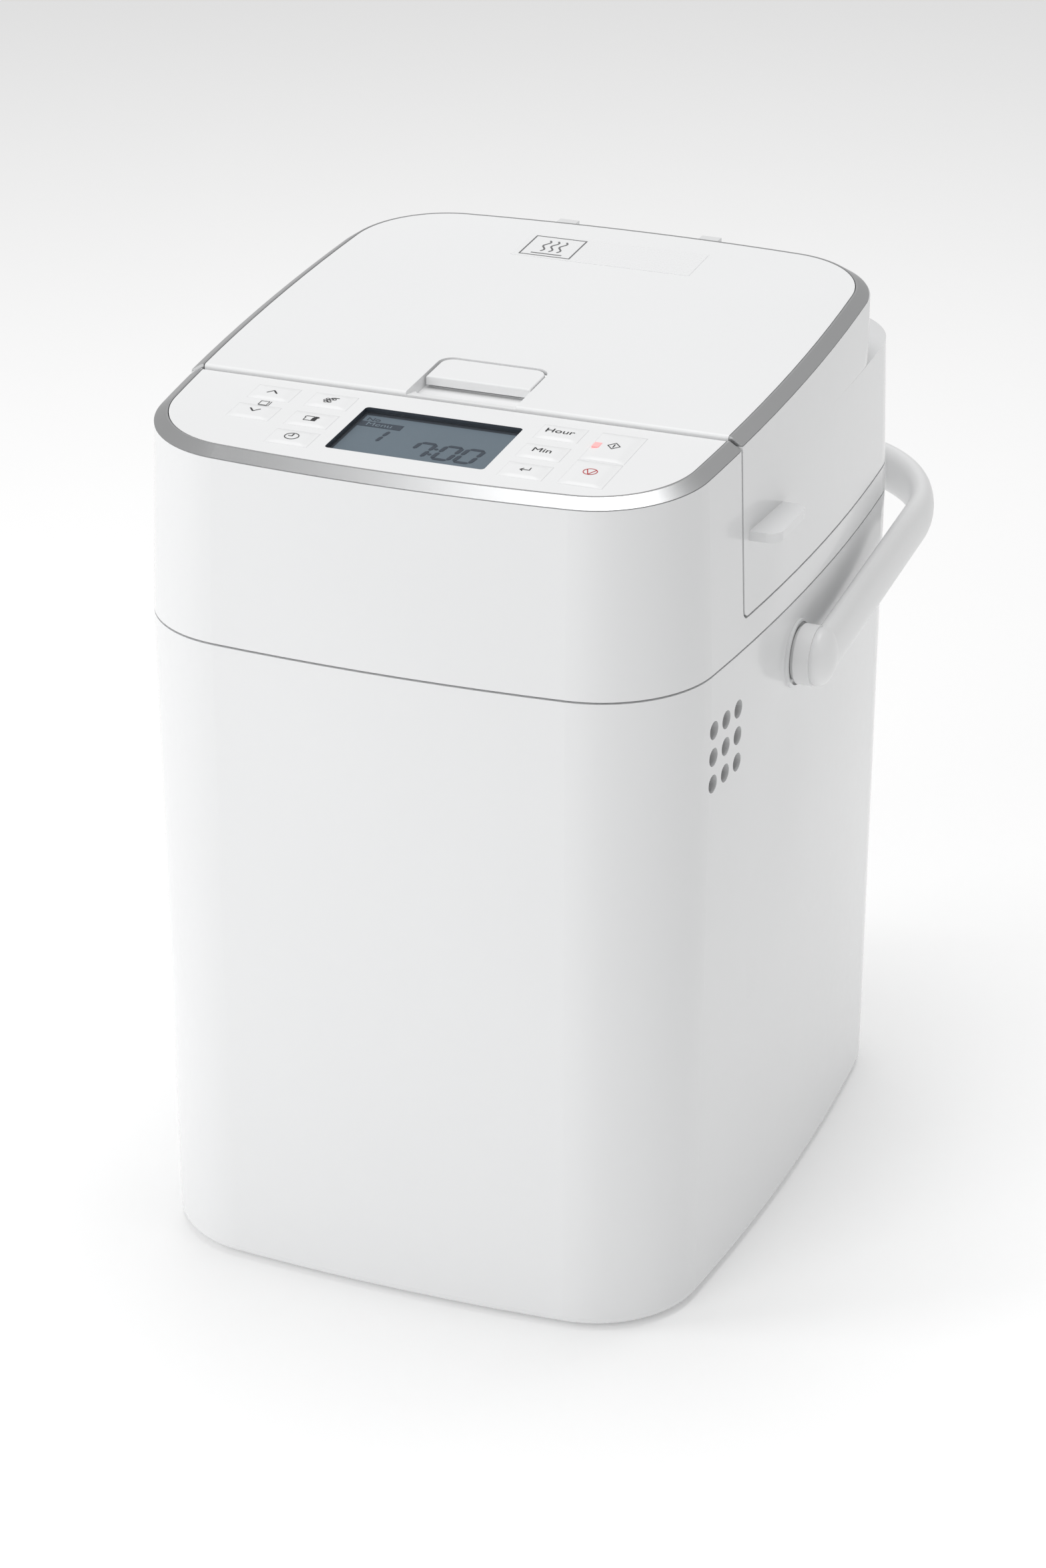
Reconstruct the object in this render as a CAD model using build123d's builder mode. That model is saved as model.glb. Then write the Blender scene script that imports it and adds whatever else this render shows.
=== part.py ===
"""Bread machine with a hinged lid, a dispenser lid and a swinging carrying handle.

Sizes are in millimetres. X runs across, Y from the front (-) to the back (+), Z upwards.
Every piece is drawn about the middle of the housing, with the feet standing on Z = 0, and
finish() brings it into the part's own frame.
"""
import os
from math import atan, cos, sin, sqrt

from build123d import *

os.makedirs("parts", exist_ok=True)

# Housing outline: a rectangle with bowed sides and round corners, widest at the seam
HALF_WIDTH = 112.5
HALF_DEPTH = 141.0
SIDE_BOW_RADIUS = 1142.0
END_BOW_RADIUS = 803.0
CORNER_RADIUS = 44.0
WALL = 2.6

# Vents in the side walls and the cord's inlet in the rear wall
VENT_CENTRE = (-84.4, 224.3)
VENT_PITCH = (10.6, 10.5)
VENT_RADIUS = 3.5
INLET_CENTRE = (62.0, 34.0)
INLET_RADIUS = 8.0
INLET_FLANGE_RADIUS = 10.5
CORD_RADIUS = 3.8

# Heights of the housing
BOTTOM = 1.5
BOTTOM_INSET = 1.7
BOTTOM_EDGE_RADIUS = 4.0
FLANGE_HEIGHT = 4.0
SEAM = 256.8
SEAM_GAP = 0.8
LIP_DEPTH = 7.0
DECK_BOTTOM = 262.2
DECK_TOP = 265.2
RIM_TOP = 267.7
LID_BOTTOM = 268.5
LEDGE = 318.5

# Sloping top: heights are those above the middle of the housing
TOP_SLOPE = 0.074
TILT = atan(TOP_SLOPE)
STRETCH = 1 / cos(TILT)
SLOPE_AXIS = Axis((0, 0, 0), (0, -sin(TILT), cos(TILT)))
BAND_LOW = 337.5
BAND_TOP = 340.4
BAND_INSET_LOW = 2.56
BAND_INSET_TOP = 7.0
BAND_LIP = 0.7
GROOVE = 0.35
LID_RISE = 1.2
SHADOW_GAP = 0.4
PANEL_THICKNESS = 2.0

# Split between the front compartment and the lid
SPLIT = -70.0
SPLIT_GAP = 1.2
SPLIT_CORNER_RADIUS = 4.0
TOP_REAR = 113.0
STEP_INSET = 1.9
REAR_STEP = TOP_REAR - BAND_INSET_LOW + STEP_INSET

# Display and keys, on the sloping panel
WINDOW_SIZE = (61.0, 37.3)
WINDOW_CENTRE = (0.0, -102.2)
WINDOW_RECESS = 0.9
KEY_SIZE = (15.3, 10.5)
START_KEY_SIZE = (15.4, 22.0)
STOP_KEY_SIZE = (15.4, 19.0)
KEY_PROUD = 0.45
KEY_GAP = 0.2
KEYS = {
    "key_up": (-67.5, -83.6, KEY_SIZE),
    "key_down": (-67.5, -100.8, KEY_SIZE),
    "key_raisin": (-44.6, -83.8, KEY_SIZE),
    "key_crust": (-44.6, -101.0, KEY_SIZE),
    "key_timer": (-44.6, -117.4, KEY_SIZE),
    "key_hour": (44.7, -84.0, KEY_SIZE),
    "key_minute": (44.7, -101.0, KEY_SIZE),
    "key_enter": (44.7, -117.4, KEY_SIZE),
    "key_start": (67.0, -89.9, START_KEY_SIZE),
    "key_stop": (67.0, -112.8, STOP_KEY_SIZE),
}
KEY_EDGE_RADIUS = 0.35
LAMP_CENTRE = (61.0, -89.6)
LAMP_SIZE = (3.4, 4.6)
LAMP_DEPTH = 1.0

# Latch lever of the dispenser lid
RECESS_HALF_WIDTH = 21.5
RECESS_REAR = -34.4
RECESS_DEPTH = 4.8
LEVER_HALF_WIDTH = 20.5
LEVER_FRONT = -53.0
LEVER_REAR = -35.2
LEVER_THICKNESS = 3.3
LATCH_AXIS_Y = -37.0
LATCH_AXIS_DROP = 2.0

# Finger tabs on the sides of the lid
TAB_REACH = 120.5
TAB_LENGTH = 32.5
TAB_CENTRE_Y = -48.25
TAB_BOTTOM = 296.4
TAB_THICKNESS = 3.6
TAB_CORNER_RADIUS = 5.0

# Hinges
LID_AXIS = (139.3, 264.0)
BARREL_RADIUS = 4.0
LID_PIN_RADIUS = 2.0
KNUCKLE_CENTRE = 53.0
KNUCKLE_LENGTH = 16.0
EAR_LENGTH = 4.0
PIN_LENGTH = KNUCKLE_LENGTH + 0.8 + 2 * EAR_LENGTH
TOP_AXIS = (111.7, 345.3)
TOP_BARREL_RADIUS = 2.0
TOP_PIN_RADIUS = 1.0
TOP_KNUCKLE_CENTRE = 30.0
TOP_KNUCKLE_LENGTH = 8.0
TOP_EAR_LENGTH = 3.0
FLAP_AXIS = (-9.0, 271.3)
RUNNING_CLEARANCE = 0.05

# Carrying handle
HANDLE_PIVOT = (-15.5, 234.4)
HANDLE_PIVOT_X = 121.9
HANDLE_CORNER_X = 116.5
HANDLE_REACH = 184.0
HANDLE_RISE = 0.06
HANDLE_BEND = 58.0
HANDLE_HALF_THICKNESS = 5.2
HANDLE_HALF_HEIGHT = 10.0
DOME_HALF_THICKNESS = 5.6
LUG_RADIUS = 11.5
LUG_INNER_X = 113.0
LUG_OUTER_X = 120.4
PIVOT_PIN_RADIUS = 4.0

# Chamber and bread pan
CHAMBER_Y = 30.0
CHAMBER_HALF_WIDTH = 82.0
CHAMBER_HALF_DEPTH = 82.0
CHAMBER_FLOOR = 70.0
CHAMBER_RADIUS = 20.0
PAN_HALF_WIDTH = 60.0
PAN_HALF_DEPTH = 68.0
PAN_BOTTOM = 95.0
PAN_TOP = 235.0
PAN_WALL = 1.6
PAN_RADIUS = 18.0
PAN_FOOT_BOTTOM = 75.0
PAN_FOOT_RADIUS = 36.0
BUSH_RADIUS = 6.5
SPINDLE_RADIUS = 4.0
BAIL_RADIUS = 1.8
BAIL_AXIS = (CHAMBER_Y, 238.4)
HEATER_TUBE_RADIUS = 3.25
HEATER_Z = 82.0

# Drive
SHAFT_RADIUS = 5.0
CHASSIS_Z = 50.0
CHASSIS_THICKNESS = 2.0
PULLEY_Z = 34.0
PULLEY_HEIGHT = 12.0
DRIVE_PULLEY_RADIUS = 42.0
MOTOR_PULLEY_RADIUS = 9.0
MOTOR_X = -40.0
MOTOR_Y = -95.0
BELT_THICKNESS = 2.0
BELT_GAP = 0.15

FOOT_SPOTS = ((-76.0, -104.0), (76.0, -104.0), (-76.0, 104.0), (76.0, 104.0))
POST_SPOTS = ((-80.0, -84.0), (80.0, -84.0), (-80.0, 100.0), (80.0, 100.0))

# The part's own frame has its origin under the middle of the whole object, handle included
HANDLE_REAR = HANDLE_PIVOT[0] + HANDLE_REACH + HANDLE_HALF_THICKNESS
ROW_SHIFT_Y = -(HANDLE_REAR - HALF_DEPTH) / 2


def finish(label, builder):
    """Bring a piece into the part's frame, label it and write it."""
    piece = builder.part.moved(Location((0, ROW_SHIFT_Y, 0)))
    piece.label = label
    export_step(piece, f"parts/{label}.step")


def level(height):
    """Horizontal plane at a height."""
    return Plane.XY.offset(height)


def slope(height, drop=0.0):
    """Plane of the sloping top, through a height above the middle, less a drop along its normal."""
    normal = (0, -sin(TILT), cos(TILT))
    return Plane(origin=(0, 0, height), x_dir=(1, 0, 0), z_dir=normal).offset(-drop)


def on_slope(x, y):
    """Place of a point on the sloping top, in that plane's own coordinates."""
    return (x, y * STRETCH)


def side(x):
    """Plane across X whose own axes are Y and Z."""
    return Plane(origin=(x, 0, 0), x_dir=(0, 1, 0), z_dir=(1, 0, 0))


def bow_drop(span, radius):
    """How far a bow falls away at a distance from its middle."""
    return radius - sqrt(radius**2 - span**2)


def corner_point(half_width, reach):
    """Where the bow of a side meets the bow of the front or the rear."""
    y = reach
    for _ in range(6):
        x = half_width - bow_drop(y, SIDE_BOW_RADIUS)
        y = reach - bow_drop(x, END_BOW_RADIUS)
    return x, y


def outline(plane, inset, rear=HALF_DEPTH):
    """Housing outline on a level or sloping plane, inset from its widest size."""
    stretch = STRETCH if abs(plane.z_dir.Y) > 0 else 1.0
    half_width = HALF_WIDTH - inset
    front = HALF_DEPTH - inset
    back = rear - inset
    front_x, front_y = corner_point(half_width, front)
    back_x, back_y = corner_point(half_width, back)
    with BuildSketch(plane) as section:
        with BuildLine():
            ThreePointArc((front_x, -front_y * stretch), (half_width, 0), (back_x, back_y * stretch))
            ThreePointArc((back_x, back_y * stretch), (0, back * stretch), (-back_x, back_y * stretch))
            ThreePointArc((-back_x, back_y * stretch), (-half_width, 0), (-front_x, -front_y * stretch))
            ThreePointArc((-front_x, -front_y * stretch), (0, -front * stretch),
                          (front_x, -front_y * stretch))
        make_face()
        fillet(vertices(), CORNER_RADIUS - inset)
    return section.sketch


def tapered(low, low_inset, high, high_inset, rear=HALF_DEPTH, mode=Mode.ADD):
    """Solid between two outlines, each on a level or a sloping plane."""
    loft([outline(low, low_inset, rear), outline(high, high_inset, rear)], ruled=True, mode=mode)


def slab(plane, size, height, radius, centre=(0, 0), mode=Mode.ADD):
    """Rounded rectangular plate standing on a plane."""
    with BuildSketch(plane) as section:
        with Locations(centre):
            RectangleRounded(size[0], size[1], radius)
    extrude(section.sketch, amount=height, mode=mode)


def disc(plane, radius, height, centre=(0, 0), mode=Mode.ADD):
    """Round plate or pin standing on a plane."""
    with BuildSketch(plane) as section:
        with Locations(centre):
            Circle(radius)
    extrude(section.sketch, amount=height, mode=mode)


def block(low, high, mode=Mode.ADD):
    """Box between two corners."""
    size = [top - bottom for bottom, top in zip(low, high)]
    middle = tuple((top + bottom) / 2 for bottom, top in zip(low, high))
    with Locations(middle):
        Box(*size, mode=mode)


def side_inset(height):
    """Inset of the upper body's drafted wall at a height."""
    return BAND_INSET_LOW * (height - SEAM) / (BAND_LOW - SEAM)


# ---------------------------------------------------------------- housing
def vent_holes(x):
    """Three by three vent holes through a side wall."""
    with BuildSketch(side(x)) as holes:
        with Locations(VENT_CENTRE):
            with GridLocations(*VENT_PITCH, 3, 3):
                Circle(VENT_RADIUS)
    extrude(holes.sketch, amount=20, both=True, mode=Mode.SUBTRACT)


with BuildPart() as lower_housing:
    housing_top = SEAM - SEAM_GAP / 2
    tapered(level(BOTTOM), BOTTOM_INSET, level(housing_top), 0)
    fillet(faces().sort_by(Axis.Z)[0].edges(), BOTTOM_EDGE_RADIUS)
    for x_side in (-1, 1):
        disc(side(x_side * 105), 13.3, x_side * 8.4, HANDLE_PIVOT)
        disc(side(x_side * 112.2), 12.1, x_side * 5, HANDLE_PIVOT, Mode.SUBTRACT)
    cavity_floor = BOTTOM + FLANGE_HEIGHT
    tapered(level(cavity_floor), BOTTOM_INSET + WALL, level(SEAM + 1), WALL, mode=Mode.SUBTRACT)
    tapered(level(0), 14, level(cavity_floor + 1), 14, mode=Mode.SUBTRACT)
    for x_side in (-1, 1):
        vent_holes(x_side * HALF_WIDTH)
        disc(side(x_side * 100), PIVOT_PIN_RADIUS + 0.1, x_side * 20, HANDLE_PIVOT, Mode.SUBTRACT)
    with BuildSketch(Plane.XZ.offset(-150)):
        with Locations(INLET_CENTRE):
            Circle(INLET_RADIUS)
    extrude(amount=30, mode=Mode.SUBTRACT)
finish("lower_housing", lower_housing)

with BuildPart() as base_plate:
    tapered(level(BOTTOM + 0.4), 14.3, level(BOTTOM + 2.9), 14.3)
    with Locations(*[(x, y, BOTTOM) for x, y in POST_SPOTS]):
        Hole(1.6)
        CounterSinkHole(1.6, 3.4, counter_sink_angle=90)
finish("base_plate", base_plate)

with BuildPart() as feet:
    for spot in FOOT_SPOTS:
        disc(level(0), 9, BOTTOM + 0.4, spot)
    chamfer(edges().group_by(Axis.Z)[0], 0.5)
finish("feet", feet)

with BuildPart() as base_screws:
    for spot in POST_SPOTS:
        disc(level(BOTTOM + 2.9), 1.5, 9, spot)
        with BuildSketch(level(BOTTOM + 0.9)):
            with Locations(spot):
                Circle(3.0)
        with BuildSketch(level(BOTTOM + 2.9)):
            with Locations(spot):
                Circle(1.5)
        loft()
finish("base_screws", base_screws)

with BuildPart() as cord_inlet:
    with BuildSketch(Plane.XZ.offset(-135.0)):
        with Locations(INLET_CENTRE):
            Circle(INLET_RADIUS - 0.1)
    extrude(amount=-6)
    with BuildSketch(Plane.XZ.offset(-141.0)):
        with Locations(INLET_CENTRE):
            Circle(INLET_FLANGE_RADIUS)
    extrude(amount=-2.5)
    fillet(edges().group_by(Axis.Y)[-1], 1.0)
    with BuildSketch(Plane.XZ.offset(-130)):
        with Locations(INLET_CENTRE):
            Circle(CORD_RADIUS)
    extrude(amount=-20, mode=Mode.SUBTRACT)
finish("cord_inlet", cord_inlet)

# ---------------------------------------------------------------- upper frame
BAND_FOOT = BAND_LOW - SHADOW_GAP
FRONT_EDGE = SPLIT - SPLIT_GAP / 2
BACK_EDGE = SPLIT + SPLIT_GAP / 2

with BuildPart() as front_cavity:
    tapered(level(DECK_BOTTOM - 0.2), WALL, slope(BAND_LOW + 8), BAND_INSET_LOW + WALL)
    block((-150, FRONT_EDGE - WALL, 200), (150, 200, 400), Mode.SUBTRACT)

with BuildPart() as top_frame:
    frame_bottom = SEAM + SEAM_GAP / 2
    tapered(level(frame_bottom), 0, slope(BAND_FOOT), BAND_INSET_LOW)
    with BuildSketch(side(0)):
        with Locations((FRONT_EDGE + 150, RIM_TOP + 100)):
            Rectangle(300, 200)
        fillet(vertices().sort_by(Axis.Y)[:2].sort_by(Axis.X)[0], SPLIT_CORNER_RADIUS)
    extrude(amount=150, both=True, mode=Mode.SUBTRACT)
    add(front_cavity.part, mode=Mode.SUBTRACT)
    tapered(level(SEAM), 5.0, level(DECK_BOTTOM), 5.0, mode=Mode.SUBTRACT)
    with BuildSketch(level(DECK_TOP)):
        add(outline(level(0), 9.0))
        with Locations((0, FRONT_EDGE - 100)):
            Rectangle(300, 200 + 16, mode=Mode.SUBTRACT)
    extrude(amount=10, mode=Mode.SUBTRACT)
    slab(level(DECK_BOTTOM - 5), (2 * CHAMBER_HALF_WIDTH + 2, 2 * CHAMBER_HALF_DEPTH + 2), 20,
         CHAMBER_RADIUS + 1, (0, CHAMBER_Y), Mode.SUBTRACT)
    tapered(level(SEAM - LIP_DEPTH), 2.9, level(frame_bottom + 1), 2.9)
    tapered(level(SEAM - LIP_DEPTH - 1), 5.0, level(frame_bottom + 1.5), 5.0, mode=Mode.SUBTRACT)
    for x_side in (-1, 1):
        knuckle_x = x_side * KNUCKLE_CENTRE
        notch = KNUCKLE_LENGTH / 2 + 0.4
        block((knuckle_x - notch, 132.0, SEAM + 1.6), (knuckle_x + notch, 150, 300), Mode.SUBTRACT)
        for ear_side in (-1, 1):
            ear_x = knuckle_x + ear_side * (notch + EAR_LENGTH / 2)
            block((ear_x - EAR_LENGTH / 2, 133.0, SEAM + 1.6), (ear_x + EAR_LENGTH / 2, LID_AXIS[0], 266))
            disc(side(ear_x - EAR_LENGTH / 2), BARREL_RADIUS, EAR_LENGTH, LID_AXIS)
        disc(side(knuckle_x - PIN_LENGTH / 2), LID_PIN_RADIUS, PIN_LENGTH, LID_AXIS, Mode.SUBTRACT)
finish("top_frame", top_frame)

with BuildPart() as hinge_pins:
    for x_side in (-1, 1):
        disc(side(x_side * KNUCKLE_CENTRE - PIN_LENGTH / 2), LID_PIN_RADIUS, PIN_LENGTH, LID_AXIS)
finish("hinge_pins", hinge_pins)


def band(rise, rear):
    """Silver chamfered band between two heights, solid inside, for trimming to length."""
    tapered(slope(BAND_LOW + rise), BAND_INSET_LOW, slope(BAND_TOP + rise), BAND_INSET_TOP, rear)
    tapered(slope(BAND_FOOT + rise), BAND_INSET_LOW + 0.8, slope(BAND_LOW + rise), BAND_INSET_LOW + 0.8,
            rear)
    inner = BAND_INSET_TOP + BAND_LIP
    tapered(slope(BAND_FOOT + rise - 1), inner, slope(BAND_TOP + rise + 1), inner, rear,
            mode=Mode.SUBTRACT)


with BuildPart() as front_trim:
    band(0, HALF_DEPTH)
    block((-150, FRONT_EDGE, 200), (150, 200, 400), Mode.SUBTRACT)
finish("front_trim", front_trim)

TOP_NOTCH = TOP_KNUCKLE_LENGTH / 2 + 0.3

with BuildPart() as lid_trim:
    band(LID_RISE, TOP_REAR)
    block((-150, -200, 200), (150, BACK_EDGE, 400), Mode.SUBTRACT)
    for x_side in (-1, 1):
        knuckle_start = x_side * TOP_KNUCKLE_CENTRE - TOP_KNUCKLE_LENGTH / 2
        knuckle_end = knuckle_start + TOP_KNUCKLE_LENGTH
        block((knuckle_start, 108.2, 347.4), (knuckle_end, TOP_AXIS[0] + 0.6, 348.4))
        block((knuckle_start, TOP_AXIS[0] - 0.6, 345.3), (knuckle_end, TOP_AXIS[0] + 1.4, 348.4))
        disc(side(knuckle_start), TOP_BARREL_RADIUS, TOP_KNUCKLE_LENGTH, TOP_AXIS)
    disc(side(-40), TOP_PIN_RADIUS + RUNNING_CLEARANCE, 80, TOP_AXIS, Mode.SUBTRACT)
finish("lid_trim", lid_trim)

# ---------------------------------------------------------------- control panel
PANEL_INSET = BAND_INSET_TOP + BAND_LIP + GROOVE

with BuildPart() as control_panel:
    tapered(slope(BAND_TOP, PANEL_THICKNESS), PANEL_INSET, slope(BAND_TOP), PANEL_INSET)
    block((-150, FRONT_EDGE, 200), (150, 200, 400), Mode.SUBTRACT)
    rear_rim = faces().sort_by(Axis.Y)[-1].edges().sort_by(Axis.Z)[-1]
    chamfer(rear_rim, 0.5)
    slab(slope(BAND_TOP, 5), WINDOW_SIZE, 10, 1.5, on_slope(*WINDOW_CENTRE), Mode.SUBTRACT)
    for x, y, (key_width, key_depth) in KEYS.values():
        hole = (key_width + 2 * KEY_GAP, key_depth + 2 * KEY_GAP)
        slab(slope(BAND_TOP, 5), hole, 10, 1.7, on_slope(x, y), Mode.SUBTRACT)
finish("control_panel", control_panel)

with BuildPart() as lcd_window:
    size = (WINDOW_SIZE[0] - 0.2, WINDOW_SIZE[1] - 0.2)
    slab(slope(BAND_TOP, WINDOW_RECESS + 1.0), size, 1.0, 1.4, on_slope(*WINDOW_CENTRE))
finish("lcd_window", lcd_window)

with BuildPart() as lcd_module:
    size = (WINDOW_SIZE[0] + 6, WINDOW_SIZE[1] + 6)
    slab(slope(BAND_TOP, PANEL_THICKNESS + 4.0), size, 3.8, 1.0, on_slope(*WINDOW_CENTRE))
finish("lcd_module", lcd_module)

with BuildPart() as control_board:
    slab(slope(BAND_TOP, 8.0), (160, 46), 1.6, 3.0, on_slope(0, -100.5))
    for x in (-67.5, -44.6, 44.7, 67.0):
        slab(slope(BAND_TOP, 6.5), (6, 40), 0.9, 0.5, on_slope(x, -100.5))
finish("control_board", control_board)


def key(width, depth, centre):
    """Key pad with softly rounded edges and a wider flange under the panel."""
    slab(slope(BAND_TOP, PANEL_THICKNESS + 0.2), (width, depth), PANEL_THICKNESS + 0.2 + KEY_PROUD, 1.5,
         centre)
    fillet(faces().sort_by(SLOPE_AXIS)[-1].edges(), KEY_EDGE_RADIUS)
    slab(slope(BAND_TOP, PANEL_THICKNESS + 1.2), (width + 1.4, depth + 1.4), 1.0, 1.0, centre)


for key_name, (key_x, key_y, key_size) in KEYS.items():
    with BuildPart() as key_piece:
        key(key_size[0], key_size[1], on_slope(key_x, key_y))
        if key_name == "key_start":
            slab(slope(BAND_TOP, LAMP_DEPTH), LAMP_SIZE, 5, 0.6, on_slope(*LAMP_CENTRE), Mode.SUBTRACT)
    finish(key_name, key_piece)

with BuildPart() as start_lamp:
    slab(slope(BAND_TOP, LAMP_DEPTH), LAMP_SIZE, LAMP_DEPTH + KEY_PROUD, 0.6, on_slope(*LAMP_CENTRE))
finish("start_lamp", start_lamp)

# ---------------------------------------------------------------- lid
LID_RIM = BAND_FOOT + LID_RISE
WEB_TOP = 333.5
WEB_BOTTOM = 331.5
DISPENSER_Y = 7.0
DISPENSER_SIZE = (72.0, 34.0)
DISPENSER_BOTTOM = 273.0


def rear_step(height, inset):
    """Cut away all that stands above the rear ledge, behind the shorter top outline."""
    with BuildSketch(level(height)) as step:
        with Locations((0, 120)):
            Rectangle(300, 200)
        add(outline(level(0), inset, REAR_STEP), mode=Mode.SUBTRACT)
    extrude(step.sketch, amount=60, mode=Mode.SUBTRACT)


with BuildPart() as lid_hollow:
    tapered(level(LID_BOTTOM - 5), side_inset(LID_BOTTOM) + WALL, slope(WEB_BOTTOM), BAND_INSET_LOW + WALL)
    rear_step(LEDGE - WALL, STEP_INSET + WALL)
    block((-150, -200, 200), (150, BACK_EDGE + WALL, 400), Mode.SUBTRACT)

with BuildPart() as lid_tray:
    tapered(slope(WEB_TOP), BAND_INSET_LOW + WALL, slope(WEB_TOP + 20), BAND_INSET_LOW + WALL)
    rear_step(LEDGE - 10, STEP_INSET + WALL)
    block((-150, -200, 200), (150, BACK_EDGE + WALL, 400), Mode.SUBTRACT)

with BuildPart() as lid_shell:
    tapered(level(LID_BOTTOM), side_inset(LID_BOTTOM), slope(LID_RIM), BAND_INSET_LOW)
    rear_step(LEDGE, STEP_INSET)
    block((-150, -200, 200), (150, BACK_EDGE, 400), Mode.SUBTRACT)
    fillet(faces().sort_by(Axis.Y)[0].edges().sort_by(Axis.Z)[0], SPLIT_CORNER_RADIUS - 0.8)
    add(lid_hollow.part, mode=Mode.SUBTRACT)
    add(lid_tray.part, mode=Mode.SUBTRACT)
    slab(slope(WEB_TOP - 10), (DISPENSER_SIZE[0] + 1, DISPENSER_SIZE[1] + 1), 20, 5, (0, DISPENSER_Y),
         Mode.SUBTRACT)
    slab(level(LEDGE - 5), (46, 9), 10, 2, (0, 126.0), Mode.SUBTRACT)
    for x_side in (-1, 1):
        knuckle_start = x_side * KNUCKLE_CENTRE - KNUCKLE_LENGTH / 2
        knuckle_end = knuckle_start + KNUCKLE_LENGTH
        block((knuckle_start, 134.5, LID_AXIS[1]), (knuckle_end, LID_AXIS[0], LID_BOTTOM + 4))
        disc(side(knuckle_start), BARREL_RADIUS, KNUCKLE_LENGTH, LID_AXIS)
        disc(side(knuckle_start), LID_PIN_RADIUS + RUNNING_CLEARANCE, KNUCKLE_LENGTH, LID_AXIS,
             Mode.SUBTRACT)
        top_x = x_side * TOP_KNUCKLE_CENTRE
        block((top_x - TOP_NOTCH, 109.2, 342.6), (top_x + TOP_NOTCH, 120, 360), Mode.SUBTRACT)
        for ear_side in (-1, 1):
            ear_start = top_x + ear_side * (TOP_NOTCH + TOP_EAR_LENGTH / 2) - TOP_EAR_LENGTH / 2
            block((ear_start, 108.8, 342.0), (ear_start + TOP_EAR_LENGTH, TOP_AXIS[0], 345.3))
            disc(side(ear_start), TOP_BARREL_RADIUS, TOP_EAR_LENGTH, TOP_AXIS)
    block((-60, 107.0, 346.35), (60, 120, 360), Mode.SUBTRACT)
    disc(side(-40), TOP_PIN_RADIUS, 80, TOP_AXIS, Mode.SUBTRACT)
finish("lid_shell", lid_shell)

with BuildPart() as finger_tabs:
    slab(level(TAB_BOTTOM), (2 * TAB_REACH, TAB_LENGTH), TAB_THICKNESS, TAB_CORNER_RADIUS,
         (0, TAB_CENTRE_Y))
    tapered(level(LID_BOTTOM), side_inset(LID_BOTTOM), slope(LID_RIM), BAND_INSET_LOW, mode=Mode.SUBTRACT)
finish("finger_tabs", finger_tabs)

with BuildPart() as dispenser_hinge_pins:
    for x_side in (-1, 1):
        reach = TOP_NOTCH + TOP_EAR_LENGTH
        disc(side(x_side * TOP_KNUCKLE_CENTRE - reach), TOP_PIN_RADIUS, 2 * reach, TOP_AXIS)
finish("dispenser_hinge_pins", dispenser_hinge_pins)

with BuildPart() as lid_liner:
    tapered(level(269.2), 8, level(270.2), 8)
    block((-150, -200, 200), (150, BACK_EDGE + WALL + 0.4, 400), Mode.SUBTRACT)
    slab(level(265), (DISPENSER_SIZE[0] + 4, DISPENSER_SIZE[1] + 4), 10, 4, (0, DISPENSER_Y),
         Mode.SUBTRACT)
    with BuildSketch(level(265)):
        with Locations((0, 92)):
            with GridLocations(12, 8, 5, 2):
                Circle(2.5)
    extrude(amount=10, mode=Mode.SUBTRACT)
finish("lid_liner", lid_liner)

with BuildPart() as lid_gasket:
    gasket_size = 2 * CHAMBER_HALF_WIDTH + 15
    slab(level(DECK_TOP + 0.4), (gasket_size, gasket_size), 3.6, 26, (0, CHAMBER_Y))
    slab(level(DECK_TOP), (gasket_size - 10, gasket_size - 10), 5, 21, (0, CHAMBER_Y), Mode.SUBTRACT)
finish("lid_gasket", lid_gasket)

with BuildPart() as steam_vent:
    slab(level(LEDGE - WALL), (45.6, 8.6), WALL + 0.8, 1.8, (0, 126.0))
    with BuildSketch(level(LEDGE - 5)):
        with Locations((0, 126.0)):
            with GridLocations(4.2, 1, 10, 1):
                SlotOverall(6, 1.8, rotation=90)
    extrude(amount=10, mode=Mode.SUBTRACT)
finish("steam_vent", steam_vent)

with BuildPart() as dispenser_box:
    box_size = (DISPENSER_SIZE[0] - 2, DISPENSER_SIZE[1] - 2)
    slab(level(DISPENSER_BOTTOM), box_size, 61, 4, (0, DISPENSER_Y))
    slab(slope(WEB_TOP), (DISPENSER_SIZE[0] + 6, DISPENSER_SIZE[1] + 6), 1.2, 6, (0, DISPENSER_Y))
    inner_size = (box_size[0] - 3.2, box_size[1] - 3.2)
    slab(level(DISPENSER_BOTTOM - 1), inner_size, 80, 2.4, (0, DISPENSER_Y), Mode.SUBTRACT)
    for x_side in (-1, 1):
        ear_x = x_side * 34.0
        block((ear_x - 1, FLAP_AXIS[0] - 2, FLAP_AXIS[1] - 1.8), (ear_x + 1, FLAP_AXIS[0] + 2, 274.0))
    disc(side(-40), 1.05, 80, FLAP_AXIS, Mode.SUBTRACT)
finish("dispenser_box", dispenser_box)

with BuildPart() as dispenser_flap:
    block((-32.4, FLAP_AXIS[0], FLAP_AXIS[1] - 0.7), (32.4, 21.0, FLAP_AXIS[1] + 0.7))
    disc(side(-32.4), 1.4, 64.8, FLAP_AXIS)
    disc(side(-35), 1.0, 70, FLAP_AXIS)
finish("dispenser_flap", dispenser_flap)

# ---------------------------------------------------------------- dispenser lid and latch
LID_TOP = BAND_TOP + LID_RISE
LATCH_AXIS_X_REACH = RECESS_HALF_WIDTH + 3.0


def latch_axis_plane(x):
    """Plane across the latch axis, on the sloping top."""
    top_z = LID_TOP + LATCH_AXIS_Y * TOP_SLOPE
    origin = (x, LATCH_AXIS_Y, top_z - LATCH_AXIS_DROP)
    return Plane(origin=origin, x_dir=(0, 1, 0), z_dir=(1, 0, 0))


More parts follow.
